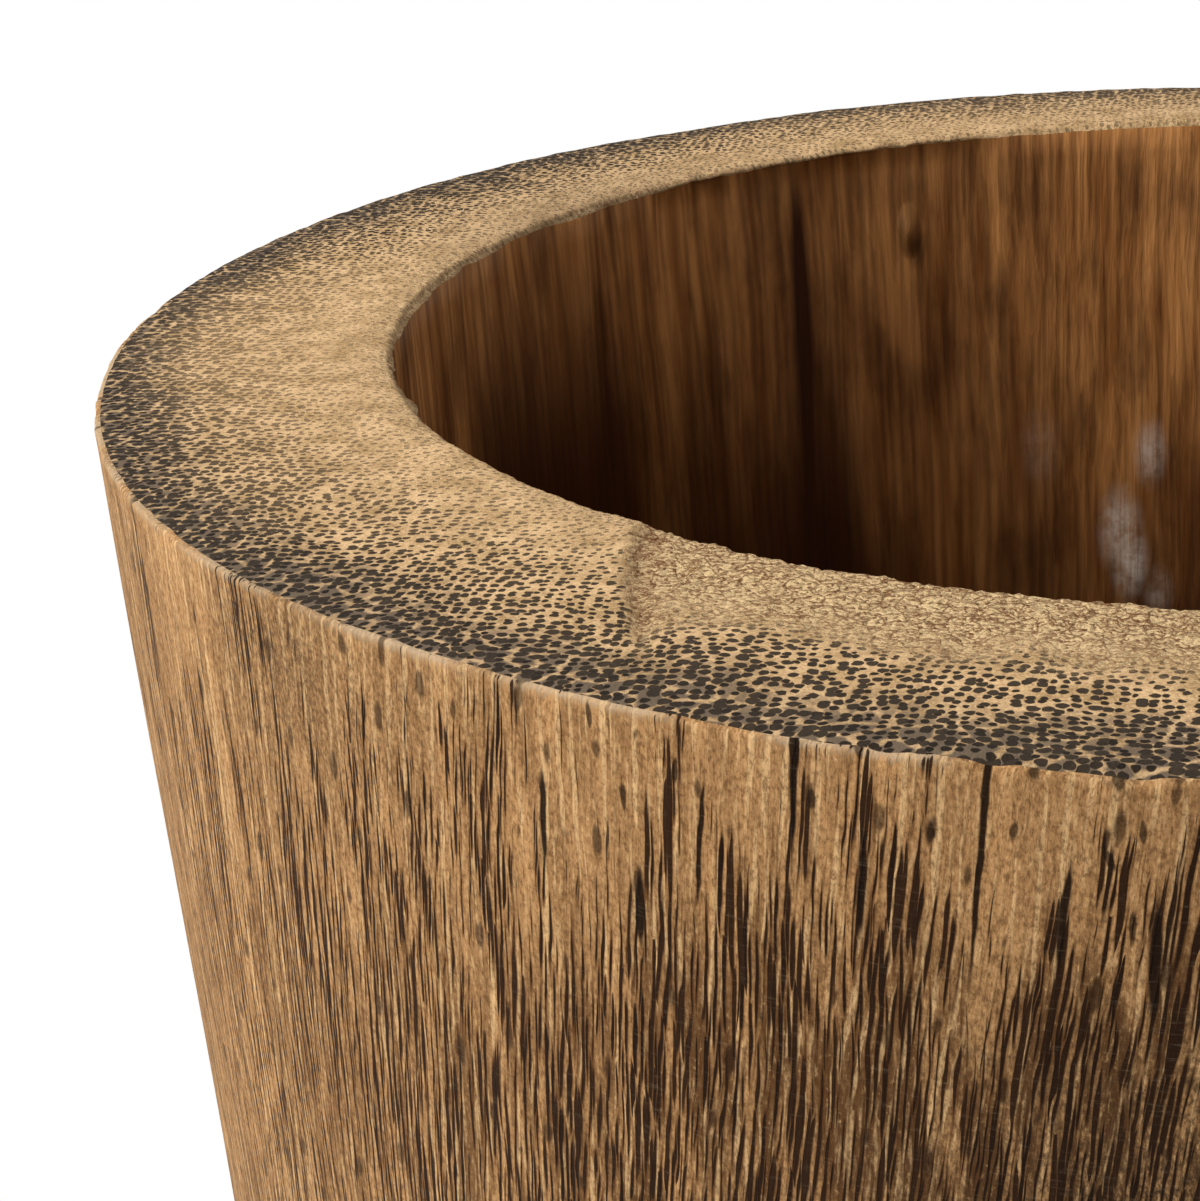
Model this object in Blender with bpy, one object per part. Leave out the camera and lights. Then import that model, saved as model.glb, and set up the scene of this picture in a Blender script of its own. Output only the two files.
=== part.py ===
"""Wooden flower pot: a turned palm-trunk wall with a let-in floor, standing on rubber pads.

The trunk section is bored right through, because the heart of a palm is soft, and its bore is
opened out from above down to a ledge. A floor disc drops onto the ledge, screws hold it from below,
and a bead of sealant fills the groove round its top edge.

Units are metres and +Z is up. The origin is the centre of the pot's footprint on the ground.
"""

import math

import bmesh
import bpy
from mathutils import Matrix, Vector

# Driving dimensions of the turned wall
POT_HEIGHT = 0.200
RIM_DIAMETER = 0.220
FOOT_DIAMETER = 0.192
RIM_WALL = 0.026
FLOOR_WALL = 0.0245
RIM_OUTER_EDGE = 0.0006
RIM_INNER_EDGE = 0.0010
FOOT_EDGE = 0.0020
FOOT_HOLE_EDGE = 0.0010

# Out-of-round of the trunk: full at the rim, and none up to a height above the floor
RIM_OVAL = 0.0315
RIM_OVAL_ANGLE = math.radians(74.2)
BORE_SHIFT_X = -0.0010
BORE_SHIFT_Y = 0.0039
ROUND_TO_Z = 0.045

# Ledge and floor
LEDGE_THICKNESS = 0.014
LEDGE_WIDTH = 0.014
FLOOR_THICKNESS = 0.016
FLOOR_EDGE = 0.0010
DRAIN_DIAMETER = 0.014
DRAIN_EDGE = 0.0015
GROOVE_SIZE = 0.005
BEAD_SAG = 0.0006

# Floor screws
SCREW_COUNT = 4
SCREW_SHANK_DIAMETER = 0.0040
SCREW_HEAD_DIAMETER = 0.0080
SCREW_HEAD_LAND = 0.0005
SCREW_HEAD_RECESS = 0.0010
SCREW_POINT_LENGTH = 0.0040
SCREW_COVER = 0.0045
DRIVE_DIAMETER = 0.0034
DRIVE_DEPTH = 0.0016
DRIVE_LOBES = 6
DRIVE_LOBE_SHARE = 0.16

# Foot pads
PAD_COUNT = 4
PAD_DIAMETER = 0.022
PAD_THICKNESS = 0.003
PAD_EDGE = 0.0008

# Fits and facets
GAP = 0.0003
CUT_PAST = 0.003
WALL_SEGMENTS = 72
PAD_SEGMENTS = 28
SCREW_SEGMENTS = 24
ARC_STEPS = 3
SHARP_ANGLE = math.radians(35)
MERGE_DISTANCE = 1e-6

# Places that follow from the sizes above
FOOT_Z = PAD_THICKNESS + GAP
LEDGE_Z = FOOT_Z + LEDGE_THICKNESS
FLOOR_Z = LEDGE_Z + GAP
FLOOR_TOP_Z = FLOOR_Z + FLOOR_THICKNESS


def outer_radius(z):
    """Radius of the straight-sided outer cone at height z."""
    share = (z - FOOT_Z) / (POT_HEIGHT - FOOT_Z)
    return (FOOT_DIAMETER + (RIM_DIAMETER - FOOT_DIAMETER) * share) / 2


def bore_radius(z):
    """Radius of the tapered bore at height z, from the ledge up to the mouth."""
    ledge = outer_radius(LEDGE_Z) - FLOOR_WALL
    mouth = outer_radius(POT_HEIGHT) - RIM_WALL
    return ledge + (mouth - ledge) * (z - LEDGE_Z) / (POT_HEIGHT - LEDGE_Z)


FOOT_HOLE_RADIUS = bore_radius(LEDGE_Z) - LEDGE_WIDTH
SCREW_CIRCLE_RADIUS = bore_radius(LEDGE_Z) - LEDGE_WIDTH / 2
PAD_CIRCLE_RADIUS = (FOOT_HOLE_RADIUS + outer_radius(FOOT_Z)) / 2
SCREW_LENGTH = FLOOR_TOP_Z - SCREW_COVER - FOOT_Z - SCREW_HEAD_RECESS


def clear_scene():
    """Removes every object that the file opened with."""
    for obj in list(bpy.data.objects):
        bpy.data.objects.remove(obj)


def finish(name, colour, roughness, metallic=0.0):
    """A plain Principled material of that colour (linear RGB)."""
    material = bpy.data.materials.new(name)
    material.use_nodes = True
    shader = material.node_tree.nodes["Principled BSDF"]
    shader.inputs["Base Color"].default_value = (*colour, 1.0)
    shader.inputs["Roughness"].default_value = roughness
    shader.inputs["Metallic"].default_value = metallic
    return material


def add_object(name, mesh, material, parent, location=(0, 0, 0), turn=0.0):
    """Links a mesh object under the parent, turned about Z and smooth except at its sharp edges."""
    obj = bpy.data.objects.new(name, mesh)
    bpy.context.scene.collection.objects.link(obj)
    if material is not None and not mesh.materials:
        mesh.materials.append(material)
    mesh.shade_smooth()
    mesh.set_sharp_from_angle(angle=SHARP_ANGLE)
    obj.parent = parent
    obj.location = location
    obj.rotation_euler.z = turn
    return obj


def rounded(corners):
    """Outline points from (radius, height, fillet) corners, each fillet turned into an arc."""
    points = []
    for i, (r, z, fillet) in enumerate(corners):
        corner = Vector((r, z))
        if not fillet:
            points.append(corner)
            continue
        before = (Vector(corners[i - 1][:2]) - corner).normalized()
        after = (Vector(corners[(i + 1) % len(corners)][:2]) - corner).normalized()
        half = before.angle(after) / 2
        centre = corner + (before + after).normalized() * (fillet / math.sin(half))
        start = corner + before * (fillet / math.tan(half)) - centre
        end = corner + after * (fillet / math.tan(half)) - centre
        sweep = start.angle_signed(end)
        for step in range(ARC_STEPS + 1):
            turn = Matrix.Rotation(-sweep * step / ARC_STEPS, 2)
            points.append(centre + turn @ start)
    return points


def turned(name, corners, segments, is_ring):
    """A mesh spun about Z from corners in the (radius, height) plane.

    A ring's outline is closed and stays clear of the axis. Any other outline starts and ends on it.
    """
    shape = bmesh.new()
    verts = [shape.verts.new((p.x, 0, p.y)) for p in rounded(corners)]
    edges = [shape.edges.new(pair) for pair in zip(verts, verts[1:])]
    if is_ring:
        edges.append(shape.edges.new((verts[-1], verts[0])))
    bmesh.ops.spin(
        shape,
        geom=verts + edges,
        cent=(0, 0, 0),
        axis=(0, 0, 1),
        angle=2 * math.pi,
        steps=segments,
        use_merge=True,
    )
    bmesh.ops.remove_doubles(shape, verts=shape.verts, dist=MERGE_DISTANCE)
    bmesh.ops.recalc_face_normals(shape, faces=shape.faces)
    mesh = bpy.data.meshes.new(name)
    shape.to_mesh(mesh)
    shape.free()
    return mesh


def cut(target, cutter):
    """Takes the cutter's shape out of the target."""
    modifier = target.modifiers.new(cutter.name, "BOOLEAN")
    modifier.operation = "DIFFERENCE"
    modifier.solver = "EXACT"
    modifier.object = cutter


def around(count, radius, first=0.0):
    """(angle, x, y) of places spaced evenly round the axis, the first one that share of a step on."""
    for i in range(count):
        angle = 2 * math.pi * (i + first) / count
        yield angle, radius * math.cos(angle), radius * math.sin(angle)


def out_of_round(mesh):
    """Makes a turned wall oval and shifts its bore off centre, growing evenly up to the rim."""
    for vert in mesh.vertices:
        x, y, z = vert.co
        rise = max(0.0, (z - ROUND_TO_Z) / (POT_HEIGHT - ROUND_TO_Z))
        wall = outer_radius(z) - bore_radius(z)
        inward = rise * (outer_radius(z) - math.hypot(x, y)) / wall
        swell = 1 + rise * RIM_OVAL * math.cos(2 * (math.atan2(y, x) - RIM_OVAL_ANGLE))
        vert.co = (x * swell + BORE_SHIFT_X * inward, y * swell + BORE_SHIFT_Y * inward, z)


def make_wall(parent, wood):
    """The turned wall, bored through, with the ledge that carries the floor."""
    corners = [
        (outer_radius(FOOT_Z), FOOT_Z, FOOT_EDGE),
        (outer_radius(ROUND_TO_Z), ROUND_TO_Z, 0),
        (outer_radius(POT_HEIGHT), POT_HEIGHT, RIM_OUTER_EDGE),
        (bore_radius(POT_HEIGHT), POT_HEIGHT, RIM_INNER_EDGE),
        (bore_radius(ROUND_TO_Z), ROUND_TO_Z, 0),
        (bore_radius(LEDGE_Z), LEDGE_Z, 0),
        (FOOT_HOLE_RADIUS, LEDGE_Z, FOOT_HOLE_EDGE),
        (FOOT_HOLE_RADIUS, FOOT_Z, FOOT_HOLE_EDGE),
    ]
    mesh = turned("pot_wall", corners, WALL_SEGMENTS, is_ring=True)
    out_of_round(mesh)
    return add_object("pot_wall", mesh, wood, parent)


def make_floor(parent, wood):
    """The floor disc on its ledge, tapered as the bore is, with a drain hole and a sealant groove."""
    drain = DRAIN_DIAMETER / 2
    groove_foot = FLOOR_TOP_Z - GROOVE_SIZE
    corners = [
        (bore_radius(FLOOR_Z) - GAP, 0, FLOOR_EDGE),
        (bore_radius(groove_foot) - GAP, groove_foot - FLOOR_Z, 0),
        (bore_radius(groove_foot) - GAP - GROOVE_SIZE, FLOOR_THICKNESS, 0),
        (drain, FLOOR_THICKNESS, DRAIN_EDGE),
        (drain, 0, DRAIN_EDGE),
    ]
    mesh = turned("floor_disc", corners, WALL_SEGMENTS, is_ring=True)
    return add_object("floor_disc", mesh, wood, parent, location=(0, 0, FLOOR_Z))


def make_bead(parent, sealant):
    """The sealant that fills the groove between the floor's edge and the bore, a little dished."""
    groove_foot = FLOOR_TOP_Z - GROOVE_SIZE
    groove_edge = bore_radius(groove_foot) - GAP
    # Square to the groove's slope the bead keeps one gap, which is this much along the flat top.
    slope_gap = GAP * math.sqrt(2)
    foot = groove_foot + slope_gap + GAP
    height = FLOOR_TOP_Z - foot
    top_outer = bore_radius(FLOOR_TOP_Z) - GAP
    top_inner = groove_edge - GROOVE_SIZE + slope_gap
    corners = [
        (bore_radius(foot) - GAP, 0, 0),
        (top_outer, height, 0),
        ((top_outer + top_inner) / 2, height - BEAD_SAG, 0),
        (top_inner, height, 0),
        (groove_edge - GAP, 0, 0),
    ]
    mesh = turned("seal_bead", corners, WALL_SEGMENTS, is_ring=True)
    return add_object("seal_bead", mesh, sealant, parent, location=(0, 0, foot))


def screw_mesh():
    """A countersunk wood screw, its head's face at z 0 and its point up, with a lobed drive socket."""
    head, shank = SCREW_HEAD_DIAMETER / 2, SCREW_SHANK_DIAMETER / 2
    cone_end = SCREW_HEAD_LAND + head - shank
    socket = DRIVE_DIAMETER / 2
    rings = [
        (socket, DRIVE_DEPTH, DRIVE_LOBE_SHARE),
        (socket, 0, DRIVE_LOBE_SHARE),
        (head, 0, 0),
        (head, SCREW_HEAD_LAND, 0),
        (shank, cone_end, 0),
        (shank, SCREW_LENGTH - SCREW_POINT_LENGTH, 0),
    ]
    verts = [(0, 0, DRIVE_DEPTH)]
    for radius, z, lobe in rings:
        for angle, x, y in around(SCREW_SEGMENTS, radius):
            swell = 1 + lobe * math.cos(DRIVE_LOBES * angle)
            verts.append((x * swell, y * swell, z))
    verts.append((0, 0, SCREW_LENGTH))
    tip = len(verts) - 1
    last = tip - SCREW_SEGMENTS
    faces = []
    for k in range(SCREW_SEGMENTS):
        after = (k + 1) % SCREW_SEGMENTS
        faces.append((0, 1 + k, 1 + after))
        for low in range(1, last, SCREW_SEGMENTS):
            high = low + SCREW_SEGMENTS
            faces.append((low + k, high + k, high + after, low + after))
        faces.append((last + k, tip, last + after))
    mesh = bpy.data.meshes.new("floor_screw")
    mesh.from_pydata(verts, [], faces)
    shape = bmesh.new()
    shape.from_mesh(mesh)
    bmesh.ops.recalc_face_normals(shape, faces=shape.faces)
    shape.to_mesh(mesh)
    shape.free()
    return mesh


def screw_hole_mesh():
    """The screw's clearance shape, open past the foot, as a cutter for the ledge and the floor."""
    head, shank = SCREW_HEAD_DIAMETER / 2 + GAP, SCREW_SHANK_DIAMETER / 2 + GAP
    land = SCREW_HEAD_LAND + GAP
    corners = [
        (0, -SCREW_HEAD_RECESS - CUT_PAST, 0),
        (head, -SCREW_HEAD_RECESS - CUT_PAST, 0),
        (head, land, 0),
        (shank, land + head - shank, 0),
        (shank, SCREW_LENGTH + GAP, 0),
        (0, SCREW_LENGTH + GAP, 0),
    ]
    return turned("screw_hole", corners, SCREW_SEGMENTS, is_ring=False)


def make_screws(parent, steel, wall, floor):
    """The floor screws, driven up through the ledge, each in its own hole."""
    screw, hole = screw_mesh(), screw_hole_mesh()
    z = FOOT_Z + SCREW_HEAD_RECESS
    for i, (angle, x, y) in enumerate(around(SCREW_COUNT, SCREW_CIRCLE_RADIUS), start=1):
        add_object(f"floor_screw_{i}", screw, steel, parent, (x, y, z), angle)
        cutter = add_object(f"cutter_screw_hole_{i}", hole, None, parent, (x, y, z), angle)
        cutter.hide_render = True
        cutter.display_type = "WIRE"
        cut(wall, cutter)
        cut(floor, cutter)


def make_pads(parent, rubber):
    """The rubber pads under the foot, set between the screws."""
    corners = [
        (0, 0, 0),
        (PAD_DIAMETER / 2, 0, PAD_EDGE),
        (PAD_DIAMETER / 2, PAD_THICKNESS, 0),
        (0, PAD_THICKNESS, 0),
    ]
    mesh = turned("foot_pad", corners, PAD_SEGMENTS, is_ring=False)
    for i, (angle, x, y) in enumerate(around(PAD_COUNT, PAD_CIRCLE_RADIUS, first=0.5), start=1):
        add_object(f"foot_pad_{i}", mesh, rubber, parent, (x, y, 0), angle)


def main():
    """Builds the pot's pieces under one empty."""
    clear_scene()
    pot = bpy.data.objects.new("flower_pot", None)
    bpy.context.scene.collection.objects.link(pot)
    palm_wood = finish("turned_palm_wood", (0.29, 0.17, 0.08), 0.6)
    floor_wood = finish("sealed_palm_plank", (0.13, 0.065, 0.025), 0.5)
    sealant = finish("brown_sealant", (0.05, 0.03, 0.018), 0.45)
    steel = finish("zinc_plated_steel", (0.6, 0.58, 0.52), 0.35, metallic=1.0)
    rubber = finish("black_rubber", (0.02, 0.02, 0.02), 0.8)
    wall = make_wall(pot, palm_wood)
    floor = make_floor(pot, floor_wood)
    make_bead(pot, sealant)
    make_screws(pot, steel, wall, floor)
    make_pads(pot, rubber)


main()
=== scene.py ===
"""Looks of the wooden flower pot: a thick wall turned from a palm trunk, photographed close to its rim.

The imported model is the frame. The turned wall is replaced by a finer mesh of the same shape with its
worn edges, torn end grain and gouged bore, and every other piece keeps its solid and gets a finish.
"""

import logging
from dataclasses import dataclass, field, replace
from enum import Enum

import bpy
import numpy as np
from mathutils import Matrix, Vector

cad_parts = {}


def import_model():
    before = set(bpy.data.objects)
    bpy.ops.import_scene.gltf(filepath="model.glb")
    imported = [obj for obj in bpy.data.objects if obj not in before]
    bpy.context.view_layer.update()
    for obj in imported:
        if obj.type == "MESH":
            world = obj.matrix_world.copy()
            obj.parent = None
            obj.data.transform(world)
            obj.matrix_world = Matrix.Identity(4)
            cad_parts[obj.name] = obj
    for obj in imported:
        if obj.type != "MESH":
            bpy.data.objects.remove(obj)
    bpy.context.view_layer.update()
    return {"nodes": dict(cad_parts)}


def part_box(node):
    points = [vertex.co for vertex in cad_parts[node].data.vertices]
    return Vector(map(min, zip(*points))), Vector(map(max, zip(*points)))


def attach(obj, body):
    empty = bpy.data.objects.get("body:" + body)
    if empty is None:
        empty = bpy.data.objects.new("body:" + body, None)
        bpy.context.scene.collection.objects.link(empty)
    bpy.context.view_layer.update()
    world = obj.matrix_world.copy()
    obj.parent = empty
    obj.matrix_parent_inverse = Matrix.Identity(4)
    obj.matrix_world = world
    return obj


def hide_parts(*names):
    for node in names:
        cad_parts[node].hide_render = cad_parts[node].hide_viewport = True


LOG = logging.getLogger("flower_pot")

MM = 0.001
TURN = 2.0 * np.pi
PHOTO_SIZE = (1200, 1201)

Socket = bpy.types.NodeSocket
Value = float | tuple | Socket
Colour = str | Socket
Layers = tuple[tuple[Socket, Value | str], ...]

# Settings that several nodes share, and the Mix node's colour output.
STEP = {"interpolation_type": "SMOOTHSTEP"}
COLOUR = {"data_type": "RGBA"}
TIMES = {"operation": "MULTIPLY"}
TIMES_PLUS = {"operation": "MULTIPLY_ADD"}
PLUS = {"operation": "ADD"}
LESS = {"operation": "SUBTRACT"}
MOST = {"operation": "MAXIMUM"}
MIXED = 2


def linear(hex_colour: str) -> tuple[float, float, float, float]:
    """Linear RGBA of an sRGB hex colour.

    Args:
        hex_colour: The colour as #rrggbb.

    Returns:
        The four linear channels, alpha 1.
    """
    channels = [int(hex_colour[i : i + 2], 16) / 255 for i in (1, 3, 5)]
    return (*[c / 12.92 if c <= 0.04045 else ((c + 0.055) / 1.055) ** 2.4 for c in channels], 1.0)


def smooth(low: float, high: float, value: np.ndarray) -> np.ndarray:
    """Smooth step: 0 below low, 1 above high, and 3t squared minus 2t cubed between them."""
    t = np.clip((value - low) / (high - low), 0.0, 1.0)
    return t * t * (3.0 - 2.0 * t)


def around_noise(turn: np.ndarray, run: np.ndarray, cells: tuple[int, float], seed: int) -> np.ndarray:
    """Value noise on a strip that closes on itself round the pot.

    Random lattice values from -1 to 1 are blended with a smooth step along each direction, and the
    lattice wraps round the turn.

    Args:
        turn: Share of a full turn, from 0 to 1.
        run: Distance along the outline in metres.
        cells: Lattice cells round the turn, and the cell length along the outline in metres.
        seed: Seed of the lattice.

    Returns:
        Noise from -1 to 1 in the shape of the inputs.
    """
    count = cells[0]
    across = run / cells[1]
    rows = int(np.ceil(across.max())) + 2
    lattice = np.random.default_rng(seed).uniform(-1.0, 1.0, (count, rows))
    u = np.mod(turn, 1.0) * count
    i = np.floor(u).astype(int)
    j = np.floor(across).astype(int)
    a = smooth(0.0, 1.0, u - i)
    b = smooth(0.0, 1.0, across - j)
    i, after = i % count, (i + 1) % count
    low = lattice[i, j] * (1 - a) + lattice[after, j] * a
    high = lattice[i, j + 1] * (1 - a) + lattice[after, j + 1] * a
    return low * (1 - b) + high * b


@dataclass(frozen=True)
class Ripple:
    """A layer of noise on the wall: its amount, its cells round the turn, its seed and its cells' length.

    Without a length it is the same all along the outline.
    """

    amount: float
    cells: int
    seed: int
    long_mm: float | None = None

    def on(self, turn: np.ndarray, run: np.ndarray) -> np.ndarray:
        """The layer's value noise times its amount.

        Args:
            turn: Share of a full turn, from 0 to 1.
            run: Distance along the outline in metres.

        Returns:
            The layer in the shape of the inputs.
        """
        if self.long_mm is None:
            return self.amount * around_noise(turn, np.zeros_like(run), (self.cells, 1.0), self.seed)
        return self.amount * around_noise(turn, run, (self.cells, self.long_mm * MM), self.seed)


class Graph:
    """A material's node tree under construction."""

    def __init__(self, name: str) -> None:
        """Makes an empty node material of that name."""
        self.material = bpy.data.materials.new(name)
        self.material.use_nodes = True
        self.tree = self.material.node_tree
        self.tree.nodes.clear()

    def add(self, kind: str, inputs: dict | tuple = (), out: int | str = 0, **settings: object) -> Socket:
        """Adds a node with its settings, and sets or links its inputs.

        Args:
            kind: The node's type name after ShaderNode.
            inputs: Constants or other nodes' outputs, in the order of the inputs or by name or index.
            out: The output that is wanted, by name or index.
            settings: Node properties.

        Returns:
            That output. An output node, which has none, gives its first input.
        """
        node = self.tree.nodes.new("ShaderNode" + kind)
        for key, value in settings.items():
            setattr(node, key, value)
        for key, value in inputs.items() if isinstance(inputs, dict) else enumerate(inputs):
            if isinstance(value, Socket):
                self.tree.links.new(value, node.inputs[key])
            else:
                node.inputs[key].default_value = value
        return node.outputs[out] if node.outputs else node.inputs[0]

    def place_mm(self) -> Socket:
        """Object coordinates in millimetres."""
        metres = self.add("TexCoord", out="Object")
        return self.add("VectorMath", {0: metres, "Scale": 1.0 / MM}, operation="SCALE")

    def close(self, base: Colour, layers: Layers, reliefs: Layers, surface: dict) -> bpy.types.Material:
        """Closes the tree with a Principled shader.

        The colour is the base with each layer's colour mixed over it by its share, and the relief is the
        sum of each pattern times its height in millimetres.

        Args:
            base: The lowest colour.
            layers: Share and colour of each layer, from below.
            reliefs: Pattern and height of each part of the relief.
            surface: The Principled shader's other inputs.

        Returns:
            The finished material.
        """
        colour, height = linear(base) if isinstance(base, str) else base, 0.0
        for share, over in layers:
            mixed = {0: share, 6: colour, 7: linear(over) if isinstance(over, str) else over}
            colour = self.add("Mix", mixed, MIXED, **COLOUR)
        for pattern, high_mm in reliefs:
            height = self.add("Math", (pattern, high_mm, height), **TIMES_PLUS)
        normal = self.add("Bump", {"Height": height, "Distance": MM, "Strength": 1.0})
        shader = self.add("BsdfPrincipled", {"Base Color": colour, **surface, "Normal": normal})
        self.add("OutputMaterial", (shader,))
        return self.material


@dataclass(frozen=True)
class Noise:
    """A noise pattern: its real size, a squeeze per axis that draws it out, its detail and roughness."""

    size_mm: float
    squeeze: tuple[float, float, float] = (1.0, 1.0, 1.0)
    detail: float = 2.0
    roughness: float = 0.5


@dataclass(frozen=True)
class BundleCut:
    """How a face cuts the fibre bundles.

    The spacing is a factor on the grain's own, the stretch is a bundle's length towards the bark over
    its width, and uneven is the range of the bundles' sizes as a share of their mean.
    """

    spacing: float
    stretch: float
    uneven: float


@dataclass(frozen=True)
class PalmGrain:
    """The fibre bundles of palm wood: dark strands that run up the trunk in a pale pith.

    Sawn across they are dots, and along a tapered turned side they are long pointed streaks. The strands
    lean outwards with part of the wall's taper, so that the side cuts them at a low angle, and they wind
    slowly round the trunk.
    """

    rim_z_mm: float
    spacing_mm: float = 0.8
    randomness: float = 0.65
    lean: float = 0.012
    twist: float = 0.12
    lean_radius_mm: float = 110.0
    wander_mm: float = 3.6
    wander: Noise = Noise(16.0, (1.0, 1.0, 0.42), 1.0)
    frayed_mm: float = 0.28
    frayed: Noise = Noise(0.5, (1.0, 1.0, 0.1), 0.0)

    def strands(self, g: Graph, place: Socket, shift_mm: float = 0.0) -> Socket:
        """Millimetre coordinates that follow the strands, pushed aside by slow and by fine noise.

        Args:
            g: The material's graph.
            place: Millimetre coordinates.
            shift_mm: Offset of the slow noise, another value for another set of strands.

        Returns:
            The moved coordinates.
        """
        lean, twist = self.lean / self.lean_radius_mm, self.twist / self.lean_radius_mm
        height = g.add("SeparateXYZ", (place,), "Z")
        widen = g.add("Math", (height, -lean, 1.0 + lean * self.rim_z_mm), **TIMES_PLUS)
        wind = g.add("Math", (height, -twist, twist * self.rim_z_mm), **TIMES_PLUS)
        moved = g.add("VectorMath", {0: place, "Scale": widen}, operation="SCALE")
        moved = g.add("VectorRotate", {"Vector": moved, "Angle": wind}, rotation_type="Z_AXIS")
        slow, fine = (self.wander, self.wander_mm, shift_mm), (self.frayed, self.frayed_mm, 0.0)
        for n, reach, shift in (slow, fine):
            drawn = g.add("VectorMath", (place, n.squeeze, (shift, shift, 0.0)), **TIMES_PLUS)
            push = g.add("TexNoise", {"Vector": drawn, "Scale": 1 / n.size_mm, "Detail": n.detail}, "Color")
            moved = g.add("VectorMath", (push, (reach, reach, 0.0), moved), **TIMES_PLUS)
        return moved

    def bundles(self, g: Graph, where: Socket, radius: Value, cut: BundleCut) -> tuple[Socket, Socket]:
        """How far inside a bundle a point lies.

        Each bundle is an oval round the nearest point of a cell pattern across the trunk, longer towards
        the bark than round the trunk, with its own radius. With d the way from its middle, e the part of
        d towards the bark and k the stretch, the distance is the root of k d squared plus (1/k - k) e
        squared.

        Args:
            g: The material's graph.
            where: Millimetre coordinates that follow the strands.
            radius: Mean bundle radius as a share of the spacing.
            cut: How the face cuts the bundles.

        Returns:
            The bundle's radius less the distance from its middle, as a share of the spacing, and a
            random number per bundle.
        """
        pitch = self.spacing_mm * cut.spacing
        flat = (1.0, 1.0, 0.0)
        pattern = {"Vector": where, "Scale": 1.0 / pitch, "Randomness": self.randomness}
        middle = g.add("TexVoronoi", pattern, "Position", voronoi_dimensions="2D")
        chance = g.add("SeparateColor", (middle.node.outputs["Color"],))
        way = g.add("VectorMath", (where, middle), **LESS)
        way, bark = (g.add("VectorMath", (vector, flat), **TIMES) for vector in (way, where))
        bark = g.add("VectorMath", (bark,), operation="NORMALIZE")
        along, whole = (
            g.add("VectorMath", (way, other), "Value", operation="DOT_PRODUCT") for other in (bark, way)
        )
        along = g.add("Math", (along, along), **TIMES)
        whole = g.add("Math", (whole, cut.stretch), **TIMES)
        away = g.add("Math", (along, 1 / cut.stretch - cut.stretch, whole), **TIMES_PLUS)
        away = g.add("Math", (away,), operation="SQRT")
        spread = g.add("Math", (chance, cut.uneven, 1.0 - cut.uneven / 2), **TIMES_PLUS)
        own = g.add("Math", (spread, radius), **TIMES)
        return g.add("Math", (away, -1.0 / pitch, own), **TIMES_PLUS), chance


class PalmZone(Enum):
    """The differently finished faces of the turned palm wall."""

    SIDE = 0
    RIM = 1
    BORE = 2
    FOOT = 3


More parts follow.
